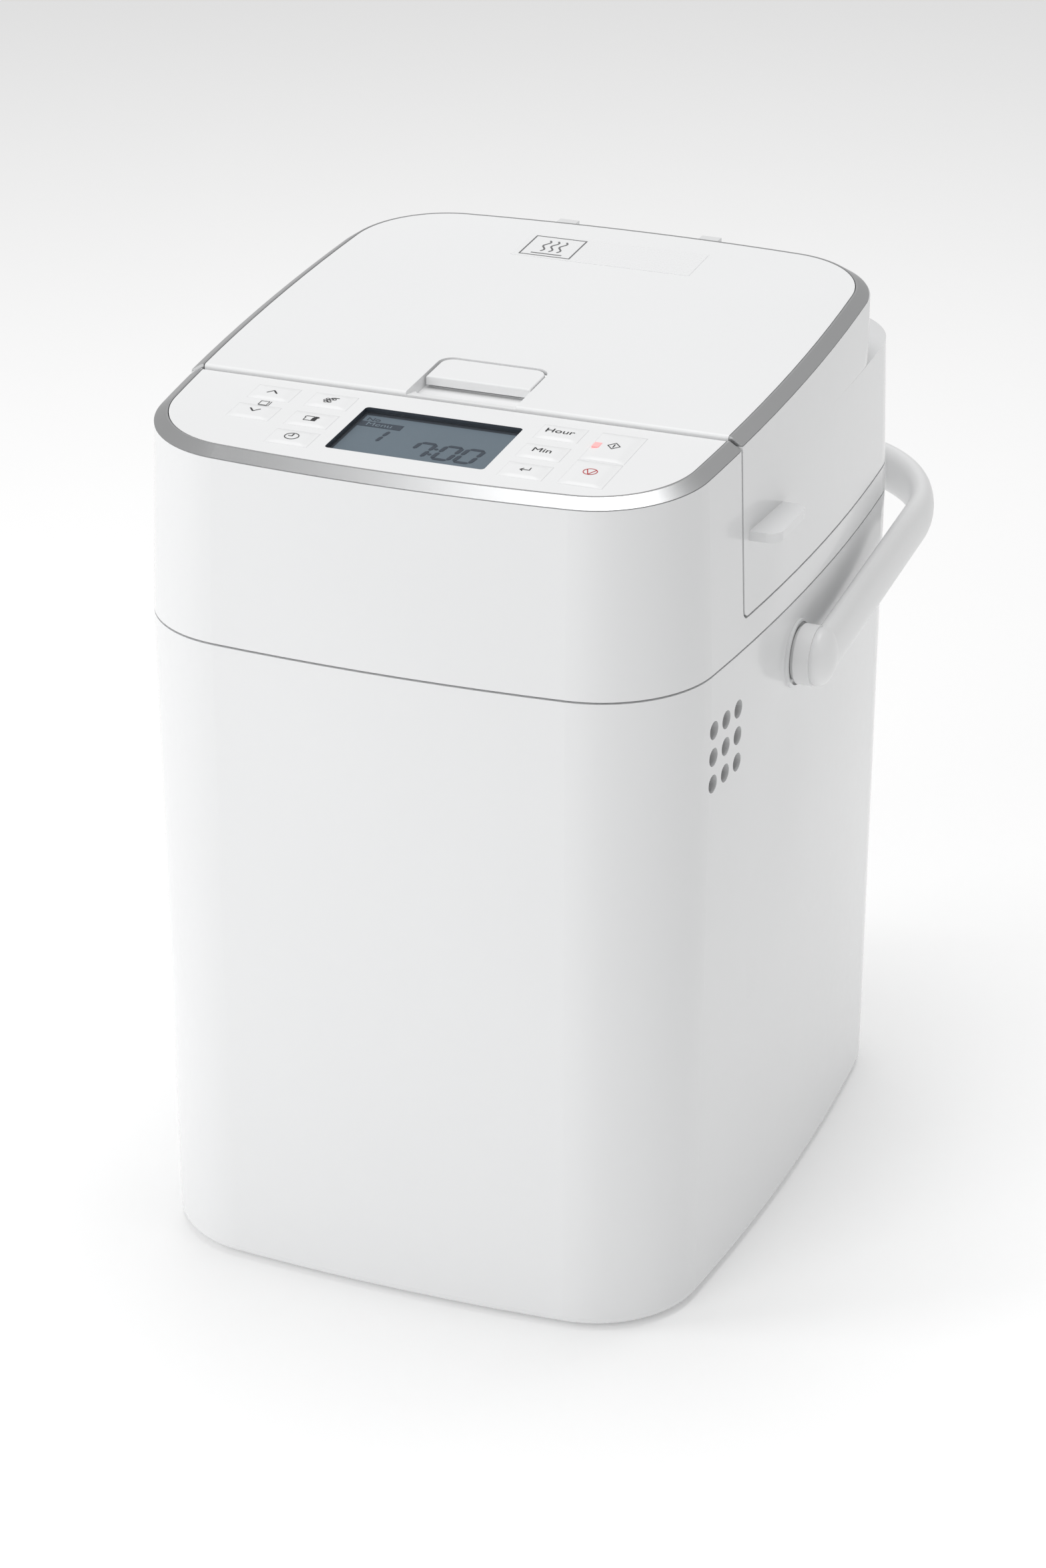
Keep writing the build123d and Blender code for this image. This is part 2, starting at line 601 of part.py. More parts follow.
with BuildPart() as dispenser_lid:
    tapered(slope(LID_TOP, PANEL_THICKNESS), PANEL_INSET, slope(LID_TOP), PANEL_INSET, TOP_REAR)
    block((-150, -200, 200), (150, BACK_EDGE, 400), Mode.SUBTRACT)
    front_rim = faces().sort_by(Axis.Y)[0].edges().sort_by(Axis.Z)[-1]
    fillet(front_rim, 1.2)
    boss_depth = RECESS_DEPTH + 1.6
    boss_front = BACK_EDGE + WALL + 0.6
    boss_rear = RECESS_REAR + 2.0
    slab(slope(LID_TOP, boss_depth), (2 * RECESS_HALF_WIDTH + 6, boss_rear - boss_front), boss_depth - 0.5,
         3, (0, (boss_front + boss_rear) / 2))
    pocket_length = RECESS_REAR - LEVER_FRONT + 12
    slab(slope(LID_TOP, RECESS_DEPTH), (2 * RECESS_HALF_WIDTH, pocket_length), 10, 5.5,
         (0, RECESS_REAR - pocket_length / 2), Mode.SUBTRACT)
    with BuildSketch(side(0)):
        with BuildLine():
            lip = LID_TOP + BACK_EDGE * TOP_SLOPE - 0.9
            foot = LID_TOP + LEVER_FRONT * TOP_SLOPE - RECESS_DEPTH
            Polyline((BACK_EDGE - 1, lip), (LEVER_FRONT - 1.5, foot), (LEVER_FRONT + 2, foot),
                     (LEVER_FRONT + 2, foot + 20), (BACK_EDGE - 1, foot + 20), close=True)
        make_face()
    extrude(amount=RECESS_HALF_WIDTH, both=True, mode=Mode.SUBTRACT)
    disc(latch_axis_plane(-LATCH_AXIS_X_REACH), 1.0, 2 * LATCH_AXIS_X_REACH, mode=Mode.SUBTRACT)
finish("dispenser_lid", dispenser_lid)

with BuildPart() as latch_lever:
    lever_length = LEVER_REAR - LEVER_FRONT
    slab(slope(LID_TOP, LEVER_THICKNESS + 0.2), (2 * LEVER_HALF_WIDTH, lever_length + 6), LEVER_THICKNESS,
         4.8, (0, LEVER_REAR - (lever_length + 6) / 2))
    block((-50, -100, 300), (50, LEVER_FRONT, 400), Mode.SUBTRACT)
    fillet(faces().sort_by(SLOPE_AXIS)[-1].edges(), 0.6)
    disc(latch_axis_plane(-LATCH_AXIS_X_REACH), 1.05, 2 * LATCH_AXIS_X_REACH, mode=Mode.SUBTRACT)
finish("latch_lever", latch_lever)

with BuildPart() as latch_pin:
    disc(latch_axis_plane(-LATCH_AXIS_X_REACH + 0.2), 1.0, 2 * LATCH_AXIS_X_REACH - 0.4)
finish("latch_pin", latch_pin)

# ---------------------------------------------------------------- carrying handle
HANDLE_TILT = atan(HANDLE_RISE)
HANDLE_PLANE = Plane(origin=(0, *HANDLE_PIVOT), x_dir=(1, 0, 0),
                     z_dir=(0, -sin(HANDLE_TILT), cos(HANDLE_TILT)))

with BuildPart() as carry_handle:
    with BuildLine(HANDLE_PLANE) as handle_path:
        FilletPolyline((HANDLE_PIVOT_X, 0), (HANDLE_CORNER_X, HANDLE_REACH),
                       (-HANDLE_CORNER_X, HANDLE_REACH), (-HANDLE_PIVOT_X, 0), radius=HANDLE_BEND)
    grip_plane = Plane(origin=handle_path.line @ 0, x_dir=HANDLE_PLANE.z_dir, z_dir=handle_path.line % 0)
    with BuildSketch(grip_plane):
        Ellipse(HANDLE_HALF_HEIGHT, HANDLE_HALF_THICKNESS)
    sweep(path=handle_path.line)
    for x_side in (-1, 1):
        dome_plane = Plane(origin=(x_side * HANDLE_PIVOT_X, *HANDLE_PIVOT), x_dir=(0, 0, 1),
                           z_dir=(0, 1, 0))
        with BuildSketch(dome_plane):
            Ellipse(LUG_RADIUS - 0.3, DOME_HALF_THICKNESS)
            Rectangle(60, 2 * DOME_HALF_THICKNESS - 0.05, mode=Mode.INTERSECT)
            with Locations((-30, 0)):
                Rectangle(60, 60, mode=Mode.SUBTRACT)
        revolve(axis=Axis((x_side * HANDLE_PIVOT_X, *HANDLE_PIVOT), (1, 0, 0)))
        disc(side(x_side * LUG_INNER_X), LUG_RADIUS - 1.2, x_side * 3, HANDLE_PIVOT)
        disc(side(x_side * (LUG_INNER_X + 1.4)), LUG_RADIUS, x_side * (LUG_OUTER_X - LUG_INNER_X - 1.4),
             HANDLE_PIVOT)
        disc(side(x_side * LUG_INNER_X), PIVOT_PIN_RADIUS + RUNNING_CLEARANCE, x_side * 6.6, HANDLE_PIVOT,
             Mode.SUBTRACT)
finish("carry_handle", carry_handle)

with BuildPart() as handle_pivots:
    for x_side in (-1, 1):
        disc(side(x_side * 106.4), 9.0, x_side * 2.0, HANDLE_PIVOT)
        disc(side(x_side * 106.4), PIVOT_PIN_RADIUS, x_side * 12.7, HANDLE_PIVOT)
finish("handle_pivots", handle_pivots)

with BuildPart() as handle_washers:
    for x_side in (-1, 1):
        disc(side(x_side * 108.4), 8.0, x_side * 1.0, HANDLE_PIVOT)
        disc(side(x_side * 108.0), PIVOT_PIN_RADIUS, x_side * 2.0, HANDLE_PIVOT, Mode.SUBTRACT)
finish("handle_washers", handle_washers)

# ---------------------------------------------------------------- chamber
CHAMBER_SIZE = (2 * CHAMBER_HALF_WIDTH, 2 * CHAMBER_HALF_DEPTH)
CHAMBER_MIDDLE = (0, CHAMBER_Y)
SHEET = 1.0

with BuildPart() as inner_case:
    slab(level(CHAMBER_FLOOR), CHAMBER_SIZE, DECK_BOTTOM - CHAMBER_FLOOR, CHAMBER_RADIUS, CHAMBER_MIDDLE)
    slab(level(DECK_BOTTOM - SHEET), (CHAMBER_SIZE[0] + 12, CHAMBER_SIZE[1] + 12), SHEET,
         CHAMBER_RADIUS + 6, CHAMBER_MIDDLE)
    slab(level(CHAMBER_FLOOR + SHEET), (CHAMBER_SIZE[0] - 2 * SHEET, CHAMBER_SIZE[1] - 2 * SHEET), 250,
         CHAMBER_RADIUS - SHEET, CHAMBER_MIDDLE, Mode.SUBTRACT)
    disc(level(CHAMBER_FLOOR - 5), 8.0, 10, CHAMBER_MIDDLE, Mode.SUBTRACT)
    for x_side in (-1, 1):
        with BuildSketch(Plane.XZ.offset(60)):
            with Locations((x_side * 12.0, HEATER_Z)):
                Circle(HEATER_TUBE_RADIUS + 0.2)
        extrude(amount=-20, mode=Mode.SUBTRACT)
    disc(side(-90), 2.7, 20, (CHAMBER_Y, 140.0), Mode.SUBTRACT)
finish("inner_case", inner_case)

with BuildPart() as heater_element:
    with BuildLine(level(HEATER_Z)) as heater_path:
        FilletPolyline((-12, -63), (-12, -40), (-70, -40), (-70, 100), (70, 100), (70, -40), (12, -40),
                       (12, -63), radius=9)
    with BuildSketch(Plane(origin=heater_path.line @ 0, z_dir=heater_path.line % 0)):
        Circle(HEATER_TUBE_RADIUS)
    sweep(path=heater_path.line)
finish("heater_element", heater_element)

with BuildPart() as heater_terminals:
    for x_side in (-1, 1):
        with BuildSketch(Plane.XZ.offset(-CHAMBER_Y + CHAMBER_HALF_DEPTH + 0.2)):
            with Locations((x_side * 12.0, HEATER_Z)):
                Circle(6.5)
                Circle(HEATER_TUBE_RADIUS, mode=Mode.SUBTRACT)
        extrude(amount=6)
finish("heater_terminals", heater_terminals)

with BuildPart() as temperature_sensor:
    disc(side(-87), 2.5, 11, (CHAMBER_Y, 140.0))
    disc(side(-85.2), 6.0, 3.0, (CHAMBER_Y, 140.0))
finish("temperature_sensor", temperature_sensor)

with BuildPart() as pan_mount:
    disc(level(CHAMBER_FLOOR + SHEET), 43.0, 9, CHAMBER_MIDDLE)
    disc(level(CHAMBER_FLOOR + SHEET), 36.7, 20, CHAMBER_MIDDLE, Mode.SUBTRACT)
finish("pan_mount", pan_mount)

# ---------------------------------------------------------------- drive
with BuildPart() as chassis_plate:
    slab(level(CHASSIS_Z), (186, 226), CHASSIS_THICKNESS, 22, (0, -1))
    disc(level(CHASSIS_Z - 5), 9.0, 20, CHAMBER_MIDDLE, Mode.SUBTRACT)
    disc(level(CHASSIS_Z - 5), 5.0, 20, (MOTOR_X, MOTOR_Y), Mode.SUBTRACT)
finish("chassis_plate", chassis_plate)

with BuildPart() as chassis_posts:
    for spot in POST_SPOTS:
        disc(level(BOTTOM + 2.9), 5.0, CHASSIS_Z - BOTTOM - 2.9, spot)
        disc(level(BOTTOM + 2.9), 1.5, 9, spot, Mode.SUBTRACT)
finish("chassis_posts", chassis_posts)

with BuildPart() as case_supports:
    support_z = CHASSIS_Z + CHASSIS_THICKNESS
    with Locations((0, CHAMBER_Y, support_z)):
        with GridLocations(124, 100, 2, 2):
            Cylinder(4, CHAMBER_FLOOR - support_z, align=(Align.CENTER, Align.CENTER, Align.MIN))
finish("case_supports", case_supports)

with BuildPart() as shaft_bearing:
    disc(level(46.5), 8.95, 19.5, CHAMBER_MIDDLE)
    disc(level(CHASSIS_Z + CHASSIS_THICKNESS), 14, 3, CHAMBER_MIDDLE)
    disc(level(40), SHAFT_RADIUS + RUNNING_CLEARANCE, 40, CHAMBER_MIDDLE, Mode.SUBTRACT)
finish("shaft_bearing", shaft_bearing)

with BuildPart() as drive_shaft:
    disc(level(30), SHAFT_RADIUS, 51, CHAMBER_MIDDLE)
    slab(level(80), (21, 4.4), 5, 1, CHAMBER_MIDDLE)
finish("drive_shaft", drive_shaft)


def pulley(radius, bore, centre):
    """Flanged flat-belt pulley."""
    disc(level(PULLEY_Z), radius, PULLEY_HEIGHT, centre)
    for flange_z in (PULLEY_Z, PULLEY_Z + PULLEY_HEIGHT - 1.5):
        disc(level(flange_z), radius + 3.5, 1.5, centre)
    disc(level(PULLEY_Z - 5), bore, 30, centre, Mode.SUBTRACT)


with BuildPart() as drive_pulley:
    pulley(DRIVE_PULLEY_RADIUS, SHAFT_RADIUS, CHAMBER_MIDDLE)
    with BuildSketch(level(PULLEY_Z - 5)):
        with Locations(CHAMBER_MIDDLE):
            with PolarLocations(25, 6):
                Circle(8)
    extrude(amount=30, mode=Mode.SUBTRACT)
finish("drive_pulley", drive_pulley)

with BuildPart() as motor_pulley:
    pulley(MOTOR_PULLEY_RADIUS, 3.0, (MOTOR_X, MOTOR_Y))
finish("motor_pulley", motor_pulley)

with BuildPart() as motor_shaft:
    disc(level(PULLEY_Z - 2), 3.0, 60, (MOTOR_X, MOTOR_Y))
finish("motor_shaft", motor_shaft)

with BuildPart() as motor:
    motor_base = CHASSIS_Z + CHASSIS_THICKNESS
    disc(level(motor_base), 30, 68, (MOTOR_X, MOTOR_Y))
    fillet(edges().group_by(Axis.Z)[-1], 4)
    disc(level(motor_base - 5), 3.0 + RUNNING_CLEARANCE, 60, (MOTOR_X, MOTOR_Y), Mode.SUBTRACT)
finish("motor", motor)


def belt_loop(gap):
    """Area inside a belt run round both pulleys, standing a gap away from them."""
    with BuildSketch(level(PULLEY_Z + 2)) as loop:
        with Locations(CHAMBER_MIDDLE):
            Circle(DRIVE_PULLEY_RADIUS + gap)
        with Locations((MOTOR_X, MOTOR_Y)):
            Circle(MOTOR_PULLEY_RADIUS + gap)
        make_hull()
    return loop.sketch


with BuildPart() as drive_belt:
    extrude(belt_loop(BELT_GAP + BELT_THICKNESS), amount=PULLEY_HEIGHT - 4)
    extrude(belt_loop(BELT_GAP), amount=PULLEY_HEIGHT - 4, mode=Mode.SUBTRACT)
finish("drive_belt", drive_belt)

with BuildPart() as power_board:
    slab(level(56), (80, 45), 1.6, 2, (45, -98))
    with Locations((45, -98, CHASSIS_Z + CHASSIS_THICKNESS)):
        with GridLocations(70, 36, 2, 2):
            Cylinder(2.5, 4, align=(Align.CENTER, Align.CENTER, Align.MIN))
    slab(level(57.6), (26, 24), 20, 1, (24, -98))
    slab(level(57.6), (12, 20), 14, 1, (50, -104))
    disc(level(57.6), 7, 22, (70, -90))
finish("power_board", power_board)

# ---------------------------------------------------------------- bread pan and blade
with BuildPart() as bread_pan:
    pan_size = (2 * PAN_HALF_WIDTH, 2 * PAN_HALF_DEPTH)
    slab(level(PAN_BOTTOM), pan_size, PAN_TOP - PAN_BOTTOM, PAN_RADIUS, CHAMBER_MIDDLE)
    fillet(edges().group_by(Axis.Z)[0], 6)
    offset(amount=-PAN_WALL, openings=faces().sort_by(Axis.Z)[-1])
    slab(level(PAN_TOP - 2.5), (pan_size[0] + 5, pan_size[1] + 5), 2.5, PAN_RADIUS + 2.5, CHAMBER_MIDDLE)
    inner_size = (pan_size[0] - 2 * PAN_WALL, pan_size[1] - 2 * PAN_WALL)
    slab(level(PAN_TOP - 20), inner_size, 200, PAN_RADIUS - PAN_WALL, CHAMBER_MIDDLE, Mode.SUBTRACT)
    disc(level(PAN_BOTTOM - 5), BUSH_RADIUS, 20, CHAMBER_MIDDLE, Mode.SUBTRACT)
finish("bread_pan", bread_pan)

with BuildPart() as pan_ears:
    for x_side in (-1, 1):
        ear_x = x_side * (PAN_HALF_WIDTH + 1.5)
        block((ear_x - 1, CHAMBER_Y - 6, PAN_TOP), (ear_x + 1, CHAMBER_Y + 6, PAN_TOP + 7))
    disc(side(-80), BAIL_RADIUS + 0.3, 160, BAIL_AXIS, Mode.SUBTRACT)
finish("pan_ears", pan_ears)

with BuildPart() as pan_foot:
    disc(level(PAN_FOOT_BOTTOM), PAN_FOOT_RADIUS, PAN_BOTTOM - PAN_FOOT_BOTTOM, CHAMBER_MIDDLE)
    disc(level(PAN_FOOT_BOTTOM), PAN_FOOT_RADIUS - PAN_WALL, PAN_BOTTOM - PAN_FOOT_BOTTOM, CHAMBER_MIDDLE,
         Mode.SUBTRACT)
finish("pan_foot", pan_foot)

with BuildPart() as pan_bush:
    disc(level(PAN_BOTTOM - 6), BUSH_RADIUS, 6 + PAN_WALL, CHAMBER_MIDDLE)
    disc(level(PAN_BOTTOM + PAN_WALL), 9.0, 2.0, CHAMBER_MIDDLE)
    disc(level(PAN_BOTTOM - 10), SPINDLE_RADIUS + RUNNING_CLEARANCE, 30, CHAMBER_MIDDLE, Mode.SUBTRACT)
finish("pan_bush", pan_bush)

with BuildPart() as pan_spindle:
    disc(level(85.5), SPINDLE_RADIUS, 26.5, CHAMBER_MIDDLE)
    disc(level(85.5), 11.0, 2.5, CHAMBER_MIDDLE)
    for peg_side in (-1, 1):
        disc(level(80.6), 2.2, 5, (0, CHAMBER_Y + peg_side * 8.0))
finish("pan_spindle", pan_spindle)

with BuildPart() as kneading_blade:
    disc(level(99), 9.0, 19, CHAMBER_MIDDLE)
    with BuildSketch(level(99)):
        with Locations((19, CHAMBER_Y)):
            Rectangle(34, 6)
        fillet(vertices().group_by(Axis.X)[-1], 2.9)
    extrude(amount=22, taper=4)
    disc(level(98), SPINDLE_RADIUS, 14, CHAMBER_MIDDLE, Mode.SUBTRACT)
finish("kneading_blade", kneading_blade)

with BuildPart() as pan_bail:
    bail_x = PAN_HALF_WIDTH - 2.5
    bail_end = PAN_HALF_WIDTH + 4.0
    bail_front = CHAMBER_Y - 58.0
    with BuildLine(level(BAIL_AXIS[1])) as bail_path:
        FilletPolyline((-bail_end, CHAMBER_Y), (-bail_x, CHAMBER_Y), (-bail_x, bail_front),
                       (bail_x, bail_front), (bail_x, CHAMBER_Y), (bail_end, CHAMBER_Y),
                       radius=[2.8, 18, 18, 2.8])
    with BuildSketch(Plane(origin=bail_path.line @ 0, z_dir=bail_path.line % 0)):
        Circle(BAIL_RADIUS)
    sweep(path=bail_path.line)
finish("pan_bail", pan_bail)
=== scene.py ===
"""Looks for the bread machine: materials, printed marks, key bumps, display, light and camera."""
from math import atan, cos, pi, radians, sin

import bmesh
import bpy
from mathutils import Matrix, Vector


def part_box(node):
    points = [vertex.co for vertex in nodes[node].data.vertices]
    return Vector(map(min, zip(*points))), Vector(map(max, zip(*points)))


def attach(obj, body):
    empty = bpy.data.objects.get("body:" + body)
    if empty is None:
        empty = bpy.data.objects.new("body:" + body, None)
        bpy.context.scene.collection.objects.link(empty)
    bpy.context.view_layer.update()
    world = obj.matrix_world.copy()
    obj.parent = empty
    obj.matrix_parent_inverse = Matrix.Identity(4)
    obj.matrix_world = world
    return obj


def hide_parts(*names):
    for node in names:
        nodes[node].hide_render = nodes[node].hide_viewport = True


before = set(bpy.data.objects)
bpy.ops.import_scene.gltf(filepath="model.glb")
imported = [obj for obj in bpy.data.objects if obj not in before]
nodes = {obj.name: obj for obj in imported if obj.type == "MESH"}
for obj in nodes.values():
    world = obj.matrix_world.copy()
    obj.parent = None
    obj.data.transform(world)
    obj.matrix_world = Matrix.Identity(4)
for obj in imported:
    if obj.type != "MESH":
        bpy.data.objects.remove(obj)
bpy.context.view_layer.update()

MM = 0.001

# ------------------------------------------------------------------ the sloping top
SLOPE = 0.074
TILT = atan(SLOPE)
UP = Vector((0, -sin(TILT), cos(TILT)))
BACK = Vector((0, cos(TILT), sin(TILT)))
CASE_FRONT = 0.058
HOUSING_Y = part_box("inner_case")[0].y + CASE_FRONT
PANEL_Z = 0.3404
LID_RISE = 0.0012
INK_DEPTH = 0.00005


def top_point(x, y, lift=0.0, rise=0.0):
    """Point on the sloping panel: x, y in mm from the housing's middle, lifts in metres."""
    z = PANEL_Z + rise + y * MM * SLOPE
    return Vector((x * MM, y * MM + HOUSING_Y, z)) + UP * lift


# ------------------------------------------------------------------ materials
COAT_ROUGHNESS = 0.06
BROAD_SCALE = 9.0
RELIEF_DEPTH = 0.0004


def new_material(name):
    material = bpy.data.materials.new(name)
    material.use_nodes = True
    return material, material.node_tree, material.node_tree.nodes["Principled BSDF"]


def textured(name, colour, roughness, grain=900.0, bump=0.02, metallic=0.0, shade=0.03, coat=0.0,
             stretch=(1, 1, 1), rough_spread=0.05, specular=0.5):
    """Principled surface whose colour, roughness and relief vary with object-space noise."""
    material, tree, shader = new_material(name)
    shader.inputs["Metallic"].default_value = metallic
    shader.inputs["Coat Weight"].default_value = coat
    shader.inputs["Coat Roughness"].default_value = COAT_ROUGHNESS
    shader.inputs["Specular IOR Level"].default_value = specular
    place = tree.nodes.new("ShaderNodeTexCoord")
    scaling = tree.nodes.new("ShaderNodeMapping")
    scaling.inputs["Scale"].default_value = stretch
    tree.links.new(place.outputs["Object"], scaling.inputs["Vector"])
    fine = tree.nodes.new("ShaderNodeTexNoise")
    fine.inputs["Scale"].default_value = grain
    fine.inputs["Detail"].default_value = 4.0
    broad = tree.nodes.new("ShaderNodeTexNoise")
    broad.inputs["Scale"].default_value = BROAD_SCALE
    broad.inputs["Detail"].default_value = 2.0
    for noise in (fine, broad):
        tree.links.new(scaling.outputs["Vector"], noise.inputs["Vector"])
    tint = tree.nodes.new("ShaderNodeValToRGB")
    tint.color_ramp.elements[0].position = 0.3
    tint.color_ramp.elements[1].position = 0.7
    tint.color_ramp.elements[0].color = [c * (1 - shade) for c in colour] + [1]
    tint.color_ramp.elements[1].color = [min(1.0, c * (1 + shade / 3)) for c in colour] + [1]
    tree.links.new(broad.outputs["Fac"], tint.inputs["Fac"])
    tree.links.new(tint.outputs["Color"], shader.inputs["Base Color"])
    spread = tree.nodes.new("ShaderNodeMapRange")
    spread.inputs["To Min"].default_value = max(0.02, roughness - rough_spread)
    spread.inputs["To Max"].default_value = min(1.0, roughness + rough_spread)
    tree.links.new(fine.outputs["Fac"], spread.inputs["Value"])
    tree.links.new(spread.outputs["Result"], shader.inputs["Roughness"])
    relief = tree.nodes.new("ShaderNodeBump")
    relief.inputs["Strength"].default_value = bump
    relief.inputs["Distance"].default_value = RELIEF_DEPTH
    tree.links.new(fine.outputs["Fac"], relief.inputs["Height"])
    tree.links.new(relief.outputs["Normal"], shader.inputs["Normal"])
    return material


WHITE = (0.80, 0.805, 0.81)
white_gloss = textured("white_gloss", WHITE, 0.16, grain=260, bump=0.01, shade=0.008, coat=0.35)
white_matte = textured("white_matte", (0.82, 0.824, 0.828), 0.42, grain=2600, bump=0.10, shade=0.01)
white_satin = textured("white_satin", (0.83, 0.833, 0.835), 0.34, grain=1800, bump=0.04, shade=0.01)
silver = textured("silver_trim", (0.60, 0.605, 0.61), 0.30, grain=1400, bump=0.03, metallic=0.9,
                  shade=0.03)
grey_plastic = textured("grey_plastic", (0.34, 0.345, 0.35), 0.5, grain=1500, bump=0.15)
dark_plastic = textured("dark_plastic", (0.035, 0.035, 0.037), 0.45, grain=1500, bump=0.12)
steel = textured("sheet_steel", (0.58, 0.58, 0.59), 0.3, grain=500, bump=0.05, metallic=1.0,
                 stretch=(1, 1, 12))
zinc = textured("zinc_steel", (0.5, 0.52, 0.54), 0.4, grain=160, bump=0.06, metallic=1.0,
                shade=0.12)
bright_steel = textured("ground_steel", (0.7, 0.7, 0.7), 0.18, grain=700, bump=0.02, metallic=1.0,
                        stretch=(1, 1, 20))
aluminium = textured("aluminium", (0.68, 0.685, 0.69), 0.32, grain=800, bump=0.04, metallic=1.0)
coating = textured("pan_coating", (0.07, 0.07, 0.072), 0.42, grain=1200, bump=0.25, shade=0.1)
sheath = textured("heater_sheath", (0.16, 0.15, 0.14), 0.55, grain=600, bump=0.15, metallic=0.8,
                  shade=0.2)
ceramic = textured("ceramic", (0.78, 0.76, 0.7), 0.3, grain=300, bump=0.05)
brass = textured("bush_brass", (0.6, 0.45, 0.2), 0.4, grain=900, bump=0.1, metallic=1.0, shade=0.1)
rubber = textured("rubber", (0.03, 0.03, 0.03), 0.75, grain=900, bump=0.2, shade=0.1)
silicone = textured("silicone", (0.5, 0.5, 0.5), 0.55, grain=700, bump=0.1)
board_green = textured("board_green", (0.02, 0.14, 0.06), 0.35, grain=120, bump=0.1, shade=0.25)
ink = textured("ink_black", (0.015, 0.015, 0.017), 0.5, grain=900, bump=0.03)
ink_grey = textured("ink_grey", (0.16, 0.16, 0.165), 0.5, grain=900, bump=0.03)
ink_red = textured("ink_red", (0.5, 0.01, 0.012), 0.5, grain=900, bump=0.03)
segment = textured("display_segment", (0.055, 0.075, 0.105), 0.5, grain=900, bump=0.02)
segment_pale = textured("display_word", (0.20, 0.26, 0.31), 0.5, grain=900, bump=0.02)
display = textured("display_field", (0.20, 0.262, 0.315), 0.5, grain=700, bump=0.02, shade=0.1)
# Painted shade: dark slate standing in for the shadow inside the display recess
painted_recess_shade = textured("painted_recess_shade", (0.045, 0.055, 0.07), 0.4, grain=900, bump=0.02)
lamp_glow = textured("lamp_glow", (0.95, 0.42, 0.42), 0.4, grain=900, bump=0.02)
lamp_shader = lamp_glow.node_tree.nodes["Principled BSDF"]
lamp_shader.inputs["Emission Color"].default_value = (1, 0.3, 0.3, 1)
lamp_shader.inputs["Emission Strength"].default_value = 0.35


def clear_lens(name):
    """Thin clear lens: mostly transparent, with a gloss that varies slightly over it."""
    material = textured(name, (0.04, 0.05, 0.06), 0.06, grain=500, bump=0.0, rough_spread=0.02)
    material.node_tree.nodes["Principled BSDF"].inputs["Alpha"].default_value = 0.12
    return material


NODE_MATERIALS = {
    white_gloss: ["lower_housing", "top_frame", "lid_shell", "finger_tabs"],
    white_matte: ["control_panel", "dispenser_lid", "latch_lever", "steam_vent"]
    + sorted(n for n in nodes if n.startswith("key_")),
    white_satin: ["carry_handle"],
    silver: ["front_trim", "lid_trim"],
    grey_plastic: ["base_plate", "dispenser_box"],
    dark_plastic: ["cord_inlet", "drive_pulley", "motor_pulley", "lcd_module"],
    steel: ["inner_case", "pan_mount", "temperature_sensor", "pan_bail", "pan_ears"],
    zinc: ["chassis_plate", "chassis_posts", "case_supports", "base_screws", "handle_washers",
           "motor"],
    bright_steel: ["hinge_pins", "dispenser_hinge_pins", "latch_pin", "handle_pivots",
                   "pan_spindle", "drive_shaft", "motor_shaft"],
    aluminium: ["lid_liner", "dispenser_flap"],
    coating: ["bread_pan", "pan_foot", "kneading_blade"],
    sheath: ["heater_element"],
    ceramic: ["heater_terminals"],
    brass: ["pan_bush", "shaft_bearing"],
    rubber: ["feet", "drive_belt"],
    silicone: ["lid_gasket"],
    board_green: ["control_board", "power_board"],
    lamp_glow: ["start_lamp"],
    clear_lens("display_lens"): ["lcd_window"],
}
for material, names in NODE_MATERIALS.items():
    for name in names:
        mesh = nodes[name].data
        mesh.materials.clear()
        mesh.materials.append(material)

# The dispenser lid's hinge knuckles belong to the silver trim's solid, but they are white
KNUCKLE_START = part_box("lid_trim")[1].y - 0.0056
KNUCKLE_X = 0.030
KNUCKLE_REACH = 0.0045
trim_mesh = nodes["lid_trim"].data
trim_mesh.materials.append(white_gloss)
for polygon in trim_mesh.polygons:
    off_knuckle = abs(abs(polygon.center.x) - KNUCKLE_X)
    if polygon.center.y > KNUCKLE_START and off_knuckle < KNUCKLE_REACH:
        polygon.material_index = 1

# The walls of the display opening are painted dark: painted shade for the recess under the lens
OPENING_MARGIN = 0.001
WALL_LEAN = 0.5
window_low, window_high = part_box("lcd_window")
panel_mesh = nodes["control_panel"].data
panel_mesh.materials.append(painted_recess_shade)
for polygon in panel_mesh.polygons:
    spot = polygon.center
    inside_x = window_low.x - OPENING_MARGIN < spot.x < window_high.x + OPENING_MARGIN
    inside_y = window_low.y - OPENING_MARGIN < spot.y < window_high.y + OPENING_MARGIN
    if inside_x and inside_y and polygon.normal.dot(UP) < WALL_LEAN:
        polygon.material_index = 1


# ------------------------------------------------------------------ pieces
MITRE_LIMIT = 0.35


def piece_from(name, builder, material, body):
    """Turn a bmesh into a piece that rides on a body."""
    bmesh.ops.recalc_face_normals(builder, faces=builder.faces)
    mesh = bpy.data.meshes.new(name)
    builder.to_mesh(mesh)
    builder.free()
    piece = bpy.data.objects.new(name, mesh)
    bpy.context.scene.collection.objects.link(piece)
    mesh.materials.append(material)
    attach(piece, body)
    return piece


